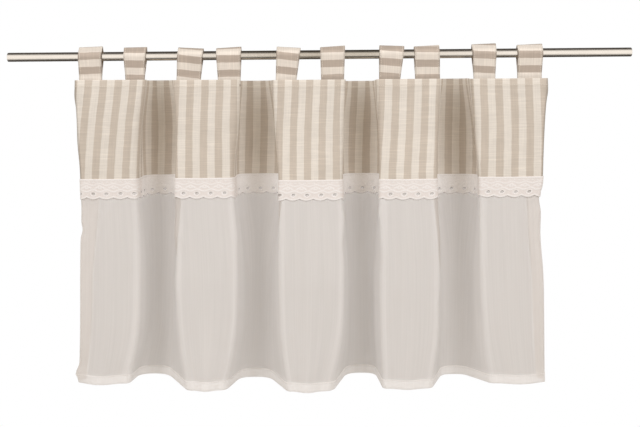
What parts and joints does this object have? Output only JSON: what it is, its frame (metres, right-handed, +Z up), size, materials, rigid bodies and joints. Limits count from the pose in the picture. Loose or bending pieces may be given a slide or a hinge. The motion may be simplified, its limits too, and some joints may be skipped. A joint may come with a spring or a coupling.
{
  "type": "tab top curtain on a rod",
  "caption": "Short tab top curtain hanging in soft folds from a plain round rod: striped heading with fabric tabs, scalloped lace trim over the seam, sheer voile panel below.",
  "frame": {"origin": "centre of the rod's left end face, seen from the room", "axes": "+X along the rod to the right, -Y into the room where the curtain shows its face, +Z up"},
  "size_m": [0.822, 0.0883, 0.4475],
  "materials": {
    "rod_steel": "drawn steel tube, satin",
    "striped_cloth": "slubbed cotton weave in cream and beige stripes, about 10 mm each",
    "lace": "cotton lace with raised rosettes, round eyelets and a scalloped edge",
    "voile": "sheer off-white voile with a turned-up hem"
  },
  "bodies": {
    "root": {"rod": "rod_steel", "tab_1": "striped_cloth", "tab_2": "striped_cloth", "tab_3": "striped_cloth", "tab_4": "striped_cloth", "tab_5": "striped_cloth", "tab_6": "striped_cloth", "tab_7": "striped_cloth", "tab_8": "striped_cloth", "tab_9": "striped_cloth", "tab_10": "striped_cloth", "heading_cloth": "striped_cloth", "lace_trim": "lace", "voile_panel": "voile"}
  },
  "joints": []
}
